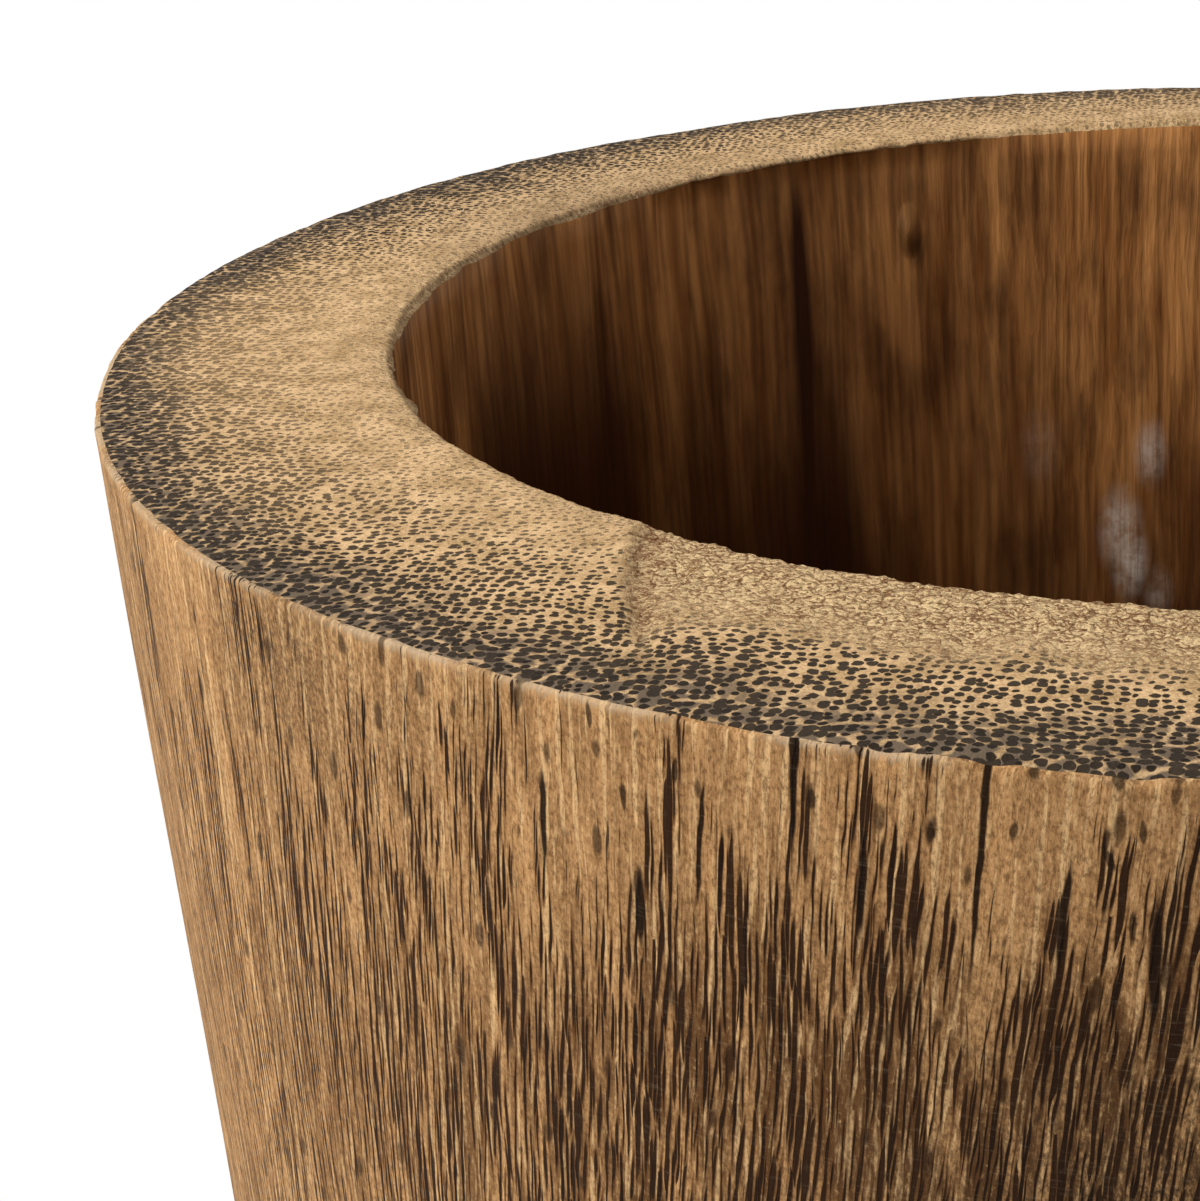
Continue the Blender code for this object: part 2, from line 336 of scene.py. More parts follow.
@dataclass(frozen=True)
class SandedPalmRim:
    """Palm end grain, sawn across and sanded by hand.

    The eye sees dark bundle ends as dots in straw-coloured pith: crowded and discoloured grey by the outer
    edge, clear in the middle, and lost in torn, crumbly pith near the bore. The gaps between the crumbs
    are darkened with painted shade, and the torn pith along the tear with a painted shadow.
    """

    grain: PalmGrain
    straw: str = "#d1ac7f"
    sand: str = "#a7865b"
    bundle: str = "#17100a"
    faint_bundle: str = "#8c7453"
    grey_stain: str = "#675746"
    crumb: str = "#ebb174"
    crumb_light: str = "#ffdca4"
    crumb_dark: str = "#6a3409"
    cut: BundleCut = BundleCut(1.12, 1.1, 0.6)
    patch: Noise = Noise(9.0)
    patch_swing: float = 0.4
    cloud: Noise = Noise(3.4, detail=4.0, roughness=0.65)
    # Real sanding dust and pith cells are finer: both are drawn as coarse as they need to show.
    grit: Noise = Noise(0.34, detail=4.0, roughness=0.8)
    crumb_mm: float = 0.32
    crumb_fray_mm: float = 0.5
    clump_mm: float = 2.2
    shard_mm: float = 1.7
    stain_and_shade_strength: float = 0.8
    crumbled_share: float = 0.92
    bump_torn_mm: float = 0.3
    bump_sanded_mm: float = 0.04
    bump_grit_mm: float = 0.2
    bump_dot_mm: float = -0.08

    def build(self) -> bpy.types.Material:
        """The rim's material."""
        g = Graph("palm_end_grain_sanded")
        place = g.place_mm()
        across, torn, stain_and_shade = (
            g.add("Attribute", out="Fac", attribute_name=name) for name in ("across", "torn", "stain_and_shade")
        )
        where = self.grain.strands(g, place)
        patches, grit, clouds = (
            g.add(
                "TexNoise",
                {"Vector": place, "Scale": 1 / n.size_mm, "Detail": n.detail, "Roughness": n.roughness},
            )
            for n in (self.patch, self.grit, self.cloud)
        )
        shifted = g.add("Math", (patches, self.patch_swing, -self.patch_swing / 2), **TIMES_PLUS)
        outward = g.add("Math", (across, shifted), **PLUS)
        radius, edge, strength, cloud, pale, pores, unbroken = (
            g.add("MapRange", ramp, **STEP)
            for ramp in (
                (outward, 0.1, 0.9, 0.24, 0.43),
                (outward, 0.6, 0.95),
                (outward, 0.12, 0.45, 0.2, 1.0),
                (clouds, 0.32, 0.68),
                (grit, 0.45, 0.72, 0.0, 0.4),
                (grit, 0.5, 0.3, 0.0, 0.5),
                (torn, 0.1, 0.8, 0.97, 0.3),
            )
        )
        inside, chance = self.grain.bundles(g, where, radius, self.cut)
        dots = g.add("MapRange", (inside, -0.05, 0.05), **STEP)

        clumps = {"Vector": where, "Scale": 1 / self.clump_mm}
        web = g.add("TexVoronoi", clumps, feature="DISTANCE_TO_EDGE", voronoi_dimensions="2D")
        clump = g.add("MapRange", (web, 0.03, 0.18, 0.2, 1.0), **STEP)
        greyed = g.add("Math", (edge, clump), **TIMES)
        # The point attribute greys the pith further: real discolouring, and painted shadow along the tear.
        greyed = g.add("Math", (stain_and_shade, self.stain_and_shade_strength, greyed), use_clamp=True, **TIMES_PLUS)
        washed = g.add("Math", (chance, 0.2), **TIMES)
        paler = g.add("MapRange", (stain_and_shade, -1.0, 0.0))
        shown = g.add("Math", (dots, unbroken), **TIMES)
        shown = g.add("Math", (shown, paler), **TIMES)
        pith, dot = linear(self.sand), linear(self.faint_bundle)
        for share, over in (
            (cloud, self.straw),
            (pale, self.crumb_light),
            (pores, self.crumb_dark),
            (greyed, self.grey_stain),
        ):
            pith = g.add("Mix", {0: share, 6: pith, 7: linear(over)}, MIXED, **COLOUR)
        for share, over in ((strength, self.bundle), (washed, self.grey_stain)):
            dot = g.add("Mix", {0: share, 6: dot, 7: linear(over)}, MIXED, **COLOUR)

        fray = (self.crumb_fray_mm,) * 3
        frayed = g.add("VectorMath", (grit.node.outputs["Color"], fray, place), **TIMES_PLUS)
        gap = g.add("TexVoronoi", {"Vector": frayed, "Scale": 1 / self.crumb_mm, "Detail": 1.0}, "Distance")
        crumbs = g.add("Math", (1.0, gap), **LESS)
        lightness = g.add("SeparateColor", (gap.node.outputs["Color"],))
        crest = g.add("Math", (lightness, 1.6), operation="POWER")
        shards = {"Vector": frayed, "Scale": 1 / self.shard_mm}
        crack = g.add("TexVoronoi", shards, feature="DISTANCE_TO_EDGE")
        # Painted shade: the gaps between the crumbs keep the dark crumb colour, and only the crumbs'
        # middles take the lighter one.
        filled = g.add("MapRange", (gap, 0.64, 0.32), **STEP)
        cracks = g.add("MapRange", (crack, 0.065, 0.0, 0.0, 0.8), **STEP)
        # Painted shadow: where the point attribute is positive, mostly along the tear, the torn pith takes
        # the dark crumb colour.
        shaded = g.add("Math", (stain_and_shade, self.stain_and_shade_strength), use_clamp=True, **TIMES)
        crumb = linear(self.crumb_dark)
        for share, over in (
            (filled, self.crumb),
            (crest, self.crumb_light),
            (cracks, self.crumb_dark),
            (shaded, self.crumb_dark),
        ):
            crumb = g.add("Mix", {0: share, 6: crumb, 7: linear(over)}, MIXED, **COLOUR)
        crumbled = g.add("Math", (torn, self.crumbled_share), **TIMES)
        depth = g.add("Math", (torn, self.bump_torn_mm, self.bump_sanded_mm), **TIMES_PLUS)
        return g.close(
            pith,
            ((shown, dot), (crumbled, crumb)),
            ((dots, self.bump_dot_mm), (grit, self.bump_grit_mm), (crumbs, depth)),
            {"Roughness": 0.85, "IOR": 1.5, "Specular IOR Level": 0.12},
        )


@dataclass(frozen=True)
class Mark:
    """A bundle cut by the outer wall: turns and depths below the rim of its two ends, and its width."""

    turn_deg: tuple[float, float]
    below_mm: tuple[float, float]
    wide_mm: float


@dataclass(frozen=True)
class TurnedPalmSide:
    """Palm side grain, turned on a lathe, sanded and oiled.

    The eye sees thin brown-black pointed streaks on speckled brown pith, few in a pale band under the
    rim and crowded lower down, with pale slivers between them, short dark ovals where bundles turn out
    to a leaf, and on the front some thick marks, a few of them cut at the edge.
    """

    grain: PalmGrain
    tan: str = "#ae8355"
    brown: str = "#573a1e"
    streak: str = "#180b03"
    streak_side: str = "#4e2e13"
    sliver: str = "#d3ae7c"
    # Dark brown of the smudges, also used for painted shade low on the front right.
    smudge_and_shade: str = "#3a2a1a"
    # Pale grey of the worn outer edge, partly a painted highlight there, and of the sanding scratches.
    worn: str = "#b7a386"
    patch: Noise = Noise(11.0, (1.0, 1.0, 0.3), 3.0)
    patch_swing_mm: float = 40.0
    column: Noise = Noise(2.6, (1.0, 1.0, 0.1), 1.0)
    column_swing_mm: float = 75.0
    hair: Noise = Noise(0.4, (1.0, 1.0, 0.05), 2.0, 0.6)
    drawn: Noise = Noise(1.8, (1.0, 1.0, 0.06), 3.0)
    # Real pith cells and sanding scratches are finer: both are drawn as coarse as they need to show.
    grit: Noise = Noise(0.32, (1.0, 1.0, 0.5), 4.0, 0.8)
    scratch: Noise = Noise(0.16, (0.12, 0.12, 1.0))
    cut: BundleCut = BundleCut(0.95, 2.6, 1.1)
    thin_cut: BundleCut = BundleCut(0.75, 2.6, 1.1)
    thin_shift_mm: float = 90.0
    flame_cut: BundleCut = BundleCut(1.5, 2.6, 1.3)
    flame_shift_mm: float = 40.0
    flame_radius: float = 0.2
    trace_cut: BundleCut = BundleCut(4.5, 1.0, 1.2)
    trace_shift_mm: float = 20.0
    trace_radius: float = 0.07
    trace_lean: float = -0.25
    band_mm: tuple[float, float] = (-9.0, 15.0)
    aged_mm: tuple[float, float] = (-10.0, 30.0)
    aged_least: float = 0.38
    drop_mm: float = 9.0
    crowd_mm: float = 60.0
    worn_mm: tuple[float, float] = (2.2, 1.3)
    worn_ragged_mm: float = 2.4
    bump_streak_mm: float = -0.1
    bump_grit_mm: float = 0.14
    bump_hair_mm: float = 0.2
    fray: Noise = Noise(0.7, (1.0, 1.0, 0.25), 1.0)
    fray_mm: tuple[float, float] = (0.3, 2.0)
    marks: tuple[Mark, ...] = (
        Mark((-103.7, -104.3), (-8.0, 8.6), 0.62),
        Mark((-97.4, -98.6), (-9.0, 17.0), 0.5),
        Mark((-92.7, -92.8), (7.8, 17.4), 0.8),
        Mark((-95.3, -95.8), (5.6, 14.4), 0.55),
        Mark((-101.8, -102.1), (5.2, 13.8), 0.68),
        Mark((-94.2, -94.35), (3.4, 5.4), 0.36),
        Mark((-94.35, -94.0), (4.6, 6.8), 0.42),
        Mark((-107.2, -107.9), (3.8, 14.0), 0.4),
        Mark((-93.4, -93.5), (9.0, 11.6), 0.5),
        Mark((-97.0, -97.1), (3.5, 5.3), 0.55),
        Mark((-103.5, -103.5), (3.3, 5.1), 0.5),
        Mark((-99.6, -99.7), (4.7, 6.4), 0.6),
        Mark((-93.2, -93.2), (3.0, 4.1), 0.55),
        Mark((-122.1, -122.6), (4.2, 9.8), 0.36),
        Mark((-110.4, -110.4), (5.5, 7.6), 0.52),
        Mark((-108.2, -108.4), (2.9, 5.1), 0.46),
        Mark((-110.0, -110.3), (11.6, 18.0), 0.72),
        Mark((-111.4, -111.4), (0.4, 2.3), 0.52),
        Mark((-113.6, -114.0), (6.0, 13.6), 0.55),
        Mark((-96.4, -96.5), (-0.6, 1.2), 0.6),
        Mark((-94.0, -93.9), (-0.2, 1.2), 0.7),
        Mark((-102.0, -101.9), (-0.4, 0.9), 0.7),
    )

    def cut_bundles(self, g: Graph, place: Socket, below: Socket) -> Socket:
        """The marks on the wall: up to 1 inside each one's slanting oval, longer ones darker.

        Args:
            g: The material's graph.
            place: Millimetre coordinates.
            below: Millimetres below the rim.

        Returns:
            The mask from 0 to 1.
        """
        x = g.add("SeparateXYZ", (place,))
        turn = g.add("Math", (x.node.outputs["Y"], x), operation="ARCTAN2")
        round_it = g.add("Math", (turn, self.grain.lean_radius_mm), **TIMES)
        spread = g.add("CombineXYZ", (round_it, below, 0.0))
        n = self.fray
        drawn = g.add("VectorMath", (place, n.squeeze), **TIMES)
        fray = g.add("TexNoise", {"Vector": drawn, "Scale": 1 / n.size_mm, "Detail": n.detail}, "Color")
        fray = g.add("VectorMath", (fray, (0.5, 0.5, 0.5)), **LESS)
        spread = g.add("VectorMath", (fray, (*self.fray_mm, 0.0), spread), **TIMES_PLUS)
        mask: Value = 0.0
        for mark in self.marks:
            ends = np.stack([np.radians(mark.turn_deg) * self.grain.lean_radius_mm, mark.below_mm])
            middle, way = ends.mean(axis=1), ends[:, 1] - ends[:, 0]
            long_mm = float(np.hypot(*way))
            oval = {
                "Vector": spread,
                "Location": (*middle, 0.0),
                "Rotation": (0.0, 0.0, np.arctan2(-way[0], way[1])),
                "Scale": (mark.wide_mm / 2, long_mm / 2, 1.0),
            }
            away = g.add("Mapping", oval, vector_type="TEXTURE")
            away = g.add("VectorMath", (away,), "Value", operation="LENGTH")
            strength = min(0.72 + 0.04 * long_mm, 0.97)
            filled = g.add("MapRange", (away, 1.15, 0.65, 0.0, strength), **STEP)
            mask = g.add("Math", (filled, mask), **MOST)
        return mask

    def build(self) -> bpy.types.Material:
        """The outer wall's material."""
        g = Graph("palm_side_grain_turned")
        place = g.place_mm()
        stain_and_shade, streaked = (
            g.add("Attribute", out="Fac", attribute_name=name) for name in ("stain_and_shade", "streaked")
        )
        height = g.add("SeparateXYZ", (place,), "Z")
        below = g.add("Math", (self.grain.rim_z_mm, height), **LESS)
        where = self.grain.strands(g, place)
        patches, columns, drawn, grit, scratch, hairs = (
            g.add(
                "TexNoise",
                {
                    "Vector": g.add("VectorMath", (where if n is self.hair else place, n.squeeze), **TIMES),
                    "Scale": 1 / n.size_mm,
                    "Detail": n.detail,
                    "Roughness": n.roughness,
                },
            )
            for n in (self.patch, self.column, self.drawn, self.grit, self.scratch, self.hair)
        )
        patched, column = (
            g.add("Math", (pattern, swing, -swing / 2), **TIMES_PLUS)
            for pattern, swing in ((patches, self.patch_swing_mm), (columns, self.column_swing_mm))
        )
        raised = g.add("Math", (streaked, -self.drop_mm), **MOST)
        level = g.add("Math", (patched, raised), **PLUS)
        level = g.add("Math", (level, below), **PLUS)
        aged = g.add("MapRange", (level, *self.aged_mm), **STEP)
        level = g.add("Math", (column, level), **PLUS)
        low = g.add("MapRange", (level, *self.band_mm), **STEP)
        spared = g.add("MapRange", (streaked, -self.crowd_mm, 0.0, 0.1, 1.0))
        crowded = g.add("MapRange", (streaked, -self.crowd_mm, self.crowd_mm, 0.3, 1.7))

        radius = g.add("Math", (low, 0.27, -0.04), **TIMES_PLUS)
        thick = g.add("MapRange", (columns, 0.34, 0.64, 0.6, 1.3))
        thick = g.add("Math", (thick, crowded), **TIMES)
        radius = g.add("Math", (radius, thick), **TIMES)
        inside, chance = self.grain.bundles(g, where, radius, self.cut)
        outward = replace(self.grain, lean=self.trace_lean)
        crossing, flame, trace = (
            self.grain.bundles(g, grain.strands(g, place, shift), size, cut)[0]
            for grain, shift, size, cut in (
                (self.grain, self.thin_shift_mm, radius, self.thin_cut),
                (self.grain, self.flame_shift_mm, self.flame_radius, self.flame_cut),
                (outward, self.trace_shift_mm, self.trace_radius, self.trace_cut),
            )
        )
        nearest = g.add("Math", (inside, crossing), **MOST)
        ragged = g.add("Math", (grit, self.worn_ragged_mm, below), **TIMES_PLUS)
        streaks, border, flames, traces = (
            g.add("MapRange", ramp, **STEP)
            for ramp in (
                (nearest, -0.06, 0.05),
                (nearest, -0.26, 0.0, 0.0, 0.8),
                (flame, -0.06, 0.05, 0.0, 0.5),
                (trace, -0.03, 0.03, 0.0, 0.7),
            )
        )
        browned, slivers, specks, flecks, mottled, bare, worn, scratched = (
            g.add("MapRange", ramp, **STEP)
            for ramp in (
                (drawn, 0.36, 0.58, 0.2, 1.0),
                (hairs, 0.54, 0.7, 0.0, 0.38),
                (grit, 0.55, 0.34, 0.0, 0.65),
                (grit, 0.54, 0.72, 0.0, 0.5),
                (grit, 0.62, 0.38, 0.35, 1.0),
                (patches, 0.4, 0.6),
                # A pale ragged line along the rim's outer edge: partly wear, partly a painted highlight.
                (ragged, *self.worn_mm, 0.0, 0.6),
                (scratch, 0.55, 0.8, 0.0, 0.08),
            )
        )
        streaks = g.add("Math", (streaks, traces), **MOST)
        marked = self.cut_bundles(g, place, below)
        aged = g.add("Math", (aged, spared), **TIMES)
        aged = g.add("Math", (aged, self.aged_least), **MOST)
        browned, border, worn = (
            g.add("Math", pair, **TIMES) for pair in ((browned, aged), (border, low), (worn, bare))
        )
        # Real smudges under the rim, and painted shade low on the front right, both from the point
        # attribute, mix in the dark brown here.
        smudged_and_shaded = g.add("Math", (stain_and_shade, mottled), use_clamp=True, **TIMES)
        browner = g.add("Math", (chance, 0.2), **TIMES)
        tones = {0: browner, 6: linear(self.streak), 7: linear(self.streak_side)}
        tone = g.add("Mix", tones, MIXED, **COLOUR)
        dark = g.add("Math", (streaks, 0.97), **TIMES)
        rough = g.add("MapRange", (streaks, 0.0, 1.0, 0.72, 0.58))
        return g.close(
            self.tan,
            (
                (browned, self.brown),
                (slivers, self.sliver),
                (flames, self.sliver),
                (specks, self.streak_side),
                (flecks, self.sliver),
                (border, self.streak_side),
                (worn, self.worn),
                (smudged_and_shaded, self.smudge_and_shade),
                (dark, tone),
                (marked, self.streak),
                (scratched, self.worn),
            ),
            ((streaks, self.bump_streak_mm), (grit, self.bump_grit_mm), (hairs, self.bump_hair_mm)),
            {"Roughness": rough, "IOR": 1.5, "Specular IOR Level": 0.05},
        )


@dataclass(frozen=True)
class PaintedHighlight:
    """A painted highlight on the sealer in the bore, a milky patch twice as high as wide: its middle, half
    its width, and its strength.
    """

    place_mm: tuple[float, float, float]
    size_mm: float
    strength: float


@dataclass(frozen=True)
class SealedPalmBore:
    """Gouged palm side grain under a brushed dark sealer.

    The eye sees red-brown streaks under a thin uneven gloss, with a small knot. The colour goes nearly
    black lower down and low on one side with painted shade, a dark spot under the knot is its painted
    shadow, and milky pale patches are painted highlights on the sealer.
    """

    grain: PalmGrain
    light: str = "#bd834a"
    middle: str = "#794920"
    deep: str = "#341603"
    streak: str = "#200d02"
    # Milky pale colour of the painted highlights on the sealer.
    painted_highlight: str = "#d8cabb"
    painted_highlights: tuple[PaintedHighlight, ...] = (
        PaintedHighlight((-18.4, 82.5, 148.6), 3.7, 0.8),
        PaintedHighlight((-17.0, 82.3, 144.4), 3.2, 0.9),
        PaintedHighlight((-14.9, 84.1, 158.6), 2.9, 0.5),
        PaintedHighlight((-28.5, 80.2, 160.0), 3.6, 0.15),
        PaintedHighlight((-13.3, 82.6, 140.0), 2.6, 0.3),
    )
    knot_mm: tuple[float, float, float] = (-44.1, 74.6, 188.8)
    # Middle of the knot's painted shadow, a dark spot just below and beside the raised knot.
    knot_shadow_mm: tuple[float, float, float] = (-43.3, 75.1, 186.6)
    knot_size_mm: float = 1.9
    cut: BundleCut = BundleCut(2.0, 2.6, 1.2)
    bundle_radius: float = 0.26
    hair: Noise = Noise(0.7, (1.0, 1.0, 0.04), 2.0, 0.6)
    drawn: Noise = Noise(3.2, (1.0, 1.0, 0.05), 3.0, 0.6)
    broad: Noise = Noise(18.0, (1.0, 1.0, 0.2))
    broad_swing_mm: float = 110.0
    cloud: Noise = Noise(6.0, (1.0, 1.0, 0.4), 4.0, 0.6)
    highlight_break: Noise = Noise(2.4, detail=4.0, roughness=0.7)
    # Millimetres below the rim over which painted shade darkens the bore towards its darkest brown.
    depth_shade_mm: tuple[float, float] = (20.0, 95.0)
    stain_and_shade_mm: float = 70.0
    bump_streak_mm: float = -0.15
    bump_drawn_mm: float = 0.35
    bump_hair_mm: float = 0.2
    bump_knot_mm: float = 2.0

    def away(self, g: Graph, place: Socket, middle_mm: tuple[float, float, float]) -> Socket:
        """Millimetres from a point, with heights counted at half, so that a limit is an upright oval.

        Args:
            g: The material's graph.
            place: Millimetre coordinates.
            middle_mm: The point.

        Returns:
            The distance.
        """
        way = g.add("VectorMath", (place, middle_mm), **LESS)
        way = g.add("VectorMath", (way, (1.0, 1.0, 0.5)), **TIMES)
        return g.add("VectorMath", (way,), "Value", operation="LENGTH")

    def build(self) -> bpy.types.Material:
        """The bore's material."""
        g = Graph("palm_bore_sealed")
        place = g.place_mm()
        stain_and_shade = g.add("Attribute", out="Fac", attribute_name="stain_and_shade")
        height = g.add("SeparateXYZ", (place,), "Z")
        below = g.add("Math", (self.grain.rim_z_mm, height), **LESS)
        where = self.grain.strands(g, place)
        drawn, broad, cloud, highlight_break, hairs = (
            g.add(
                "TexNoise",
                {
                    "Vector": g.add("VectorMath", (where if n is self.hair else place, n.squeeze), **TIMES),
                    "Scale": 1 / n.size_mm,
                    "Detail": n.detail,
                    "Roughness": n.roughness,
                },
            )
            for n in (self.drawn, self.broad, self.cloud, self.highlight_break, self.hair)
        )
        # Painted shade: the colour darkens with depth below the rim, unevenly round the bore, and further
        # where the point attribute is positive.
        uneven = g.add("Math", (broad, self.broad_swing_mm, -self.broad_swing_mm / 2), **TIMES_PLUS)
        level = g.add("Math", (below, uneven), **PLUS)
        darker = g.add("Math", (stain_and_shade, 0.0), **MOST)
        level = g.add("Math", (darker, self.stain_and_shade_mm, level), **TIMES_PLUS)
        inside, _ = self.grain.bundles(g, where, self.bundle_radius, self.cut)
        depth_shade, streaks, lit, lines, clouded, highlight_breaks = (
            g.add("MapRange", ramp, **STEP)
            for ramp in (
                (level, *self.depth_shade_mm),
                (inside, -0.4, 0.3, 0.0, 0.38),
                (drawn, 0.25, 0.75),
                (hairs, 0.6, 0.3, 0.0, 0.25),
                (cloud, 0.4, 0.7, 0.0, 0.55),
                (highlight_break, 0.34, 0.62, 0.3, 0.95),
            )
        )
        highlighted: Value = 0.0
        for painted_highlight in self.painted_highlights:
            away = self.away(g, place, painted_highlight.place_mm)
            patch = g.add("MapRange", (away, painted_highlight.size_mm, 0.0, 0.0, painted_highlight.strength), **STEP)
            highlighted = g.add("Math", (patch, highlighted), **MOST)
        highlighted = g.add("Math", (highlighted, highlight_breaks), **TIMES)
        # The knot is a raised bump; the dark spot below it is its painted shadow.
        lump, knot_shadow = (
            g.add("MapRange", (self.away(g, place, middle), self.knot_size_mm, 0.0), **STEP)
            for middle in (self.knot_mm, self.knot_shadow_mm)
        )
        knot_shadow = g.add("Math", (knot_shadow, 0.75), **TIMES)
        rough = g.add("MapRange", (broad, 0.3, 0.7, 0.45, 0.65))
        return g.close(
            self.middle,
            (
                (lit, self.light),
                (lines, self.middle),
                (clouded, self.deep),
                (depth_shade, self.deep),
                (streaks, self.streak),
                (highlighted, self.painted_highlight),
                (knot_shadow, self.streak),
            ),
            (
                (streaks, self.bump_streak_mm),
                (drawn, self.bump_drawn_mm),
                (hairs, self.bump_hair_mm),
                (lump, self.bump_knot_mm),
            ),
            {"Roughness": rough, "IOR": 1.5, "Specular IOR Level": 0.12},
        )


@dataclass(frozen=True)
class SawnPalmFoot:
    """Palm end grain left from the saw.

    The eye sees grey-brown pith with dark dots, scored across by the saw.
    """

    grain: PalmGrain
    pith: str = "#a78458"
    worn: str = "#8c7150"
    bundle: str = "#41372e"
    cut: BundleCut = BundleCut(1.0, 1.6, 0.5)
    bundle_radius: float = 0.36
    kerf: Noise = Noise(0.9, (0.08, 1.0, 1.0))
    cloud: Noise = Noise(5.0, detail=3.0)
    bump_dot_mm: float = -0.07
    bump_kerf_mm: float = 0.15

    def build(self) -> bpy.types.Material:
        """The foot's material."""
        g = Graph("palm_end_grain_sawn")
        place = g.place_mm()
        where = self.grain.strands(g, place)
        inside, _ = self.grain.bundles(g, where, self.bundle_radius, self.cut)
        dots = g.add("MapRange", (inside, -0.07, 0.07, 0.0, 0.85), **STEP)
        kerf, cloud = (
            g.add(
                "TexNoise",
                {
                    "Vector": g.add("VectorMath", (place, n.squeeze), **TIMES),
                    "Scale": 1 / n.size_mm,
                    "Detail": n.detail,
                },
            )
            for n in (self.kerf, self.cloud)
        )
        return g.close(
            self.pith,
            ((cloud, self.worn), (dots, self.bundle)),
            ((dots, self.bump_dot_mm), (kerf, self.bump_kerf_mm)),
            {"Roughness": 0.8, "IOR": 1.5, "Specular IOR Level": 0.25},
        )


@dataclass(frozen=True)
class SealedPalmPlank:
    """A palm plank sawn along the trunk, under the same dark sealer as the bore.

    The eye sees long dark strands along the plank in red-brown pith.
    """

    pith: str = "#6b4525"
    streak: str = "#2a1508"
    strand_mm: tuple[float, float, float] = (20.0, 1.2, 1.2)
    bend: Noise = Noise(14.0, (0.3, 1.0, 1.0))
    bend_mm: tuple[float, float, float] = (0.0, 5.0, 3.0)
    drawn: Noise = Noise(2.5, (0.06, 1.0, 1.0), 3.0)
    bump_streak_mm: float = -0.12
    bump_drawn_mm: float = 0.2

    def build(self) -> bpy.types.Material:
        """The floor disc's material."""
        g = Graph("palm_plank_sealed")
        place = g.place_mm()
        n = self.bend
        bent = g.add("VectorMath", (place, n.squeeze), **TIMES)
        bent = g.add("TexNoise", {"Vector": bent, "Scale": 1 / n.size_mm, "Detail": n.detail}, "Color")
        moved = g.add("VectorMath", (bent, self.bend_mm, place), **TIMES_PLUS)
        cells = g.add("VectorMath", (moved, self.strand_mm), operation="DIVIDE")
        away = g.add("TexVoronoi", {"Vector": cells, "Scale": 1.0}, "Distance")
        streaks = g.add("MapRange", (away, 0.5, 0.3, 0.0, 0.75), **STEP)
        n = self.drawn
        drawn = g.add("VectorMath", (moved, n.squeeze), **TIMES)
        drawn = g.add("TexNoise", {"Vector": drawn, "Scale": 1 / n.size_mm, "Detail": n.detail})
        lit = g.add("MapRange", (drawn, 0.3, 0.7), **STEP)
        return g.close(
            self.streak,
            ((lit, self.pith), (streaks, self.streak)),
            ((streaks, self.bump_streak_mm), (drawn, self.bump_drawn_mm)),
            {"Roughness": 0.5, "IOR": 1.5, "Specular IOR Level": 0.4},
        )


@dataclass(frozen=True)
class BrownSealant:
    """Elastic sealant smoothed with a wet finger.

    The eye sees a dark brown satin bead, faintly rippled and dusty.
    """

    colour: str = "#2b1c11"
    dusty: str = "#433121"
    ripple: Noise = Noise(4.0)
    # Real dust is finer and is drawn as coarse as it needs to show.
    dust: Noise = Noise(0.8, detail=3.0)
    bump_mm: float = 0.5

    def build(self) -> bpy.types.Material:
        """The sealant bead's material."""
        g = Graph("polyurethane_sealant_tooled")
        place = g.place_mm()
        ripple, dust = (
            g.add("TexNoise", {"Vector": place, "Scale": 1 / n.size_mm, "Detail": n.detail})
            for n in (self.ripple, self.dust)
        )
        settled = g.add("MapRange", (dust, 0.45, 0.8, 0.0, 0.6), **STEP)
        rough = g.add("MapRange", (dust, 0.3, 0.7, 0.55, 0.7))
        surface = {"Roughness": rough, "IOR": 1.45, "Specular IOR Level": 0.25}
        return g.close(self.colour, ((settled, self.dusty),), ((ripple, self.bump_mm),), surface)


@dataclass(frozen=True)
class PassivatedZinc:
    """Steel screws with yellow-passivated zinc plate.

    The eye sees a soft gold metal with dull patches.
    """

    bright: str = "#c9b06f"
    dull: str = "#8f8052"
    cloud: Noise = Noise(1.2, detail=3.0)
    bump_mm: float = 0.03

    def build(self) -> bpy.types.Material:
        """The screws' material."""
        g = Graph("zinc_plate_yellow_passivated")
        n = self.cloud
        cloud = g.add("TexNoise", {"Vector": g.place_mm(), "Scale": 1 / n.size_mm, "Detail": n.detail})
        patch = g.add("MapRange", (cloud, 0.35, 0.7), **STEP)
        surface = {"Roughness": g.add("MapRange", (cloud, 0.3, 0.7, 0.28, 0.45)), "Metallic": 1.0}
        return g.close(self.bright, ((patch, self.dull),), ((cloud, self.bump_mm),), surface)


@dataclass(frozen=True)
class MouldedRubber:
    """Moulded black rubber.

    The eye sees a matt black with the mould's fine grain and a little dust.
    """

    colour: str = "#1d1c1b"
    dust_colour: str = "#3d3833"
    # The mould's real grain is finer and is drawn as coarse as it needs to show.
    grain: Noise = Noise(0.5)
    dust: Noise = Noise(3.0, detail=3.0)
    bump_mm: float = 0.06

    def build(self) -> bpy.types.Material:
        """The pads' material."""
        g = Graph("rubber_black_moulded")
        place = g.place_mm()
        grit, dust = (
            g.add("TexNoise", {"Vector": place, "Scale": 1 / n.size_mm, "Detail": n.detail})
            for n in (self.grain, self.dust)
        )
        settled = g.add("MapRange", (dust, 0.45, 0.75, 0.0, 0.6), **STEP)
        surface = {"Roughness": 0.8, "IOR": 1.5}
        return g.close(self.colour, ((settled, self.dust_colour),), ((grit, self.bump_mm),), surface)


@dataclass(frozen=True)
class StainAndShade:
    """A soft round place where the wood is darker, or lighter, or streaked otherwise; some darker places
    are painted shade.

    Along is measured on the outline from the outer edge of the rim: onto the rim and down the bore it
    is positive, and down the outer wall it is negative. A negative depth makes the rim's dots paler.
    Streaked is how much further down the wall the streaks look than they are: where it is negative they
    start lower and are thinner, and where it is positive they are thicker.
    """

    turn_deg: float
    along_mm: float
    wide_mm: float
    long_mm: float
    depth: float = 0.0
    streaked_mm: float = 0.0


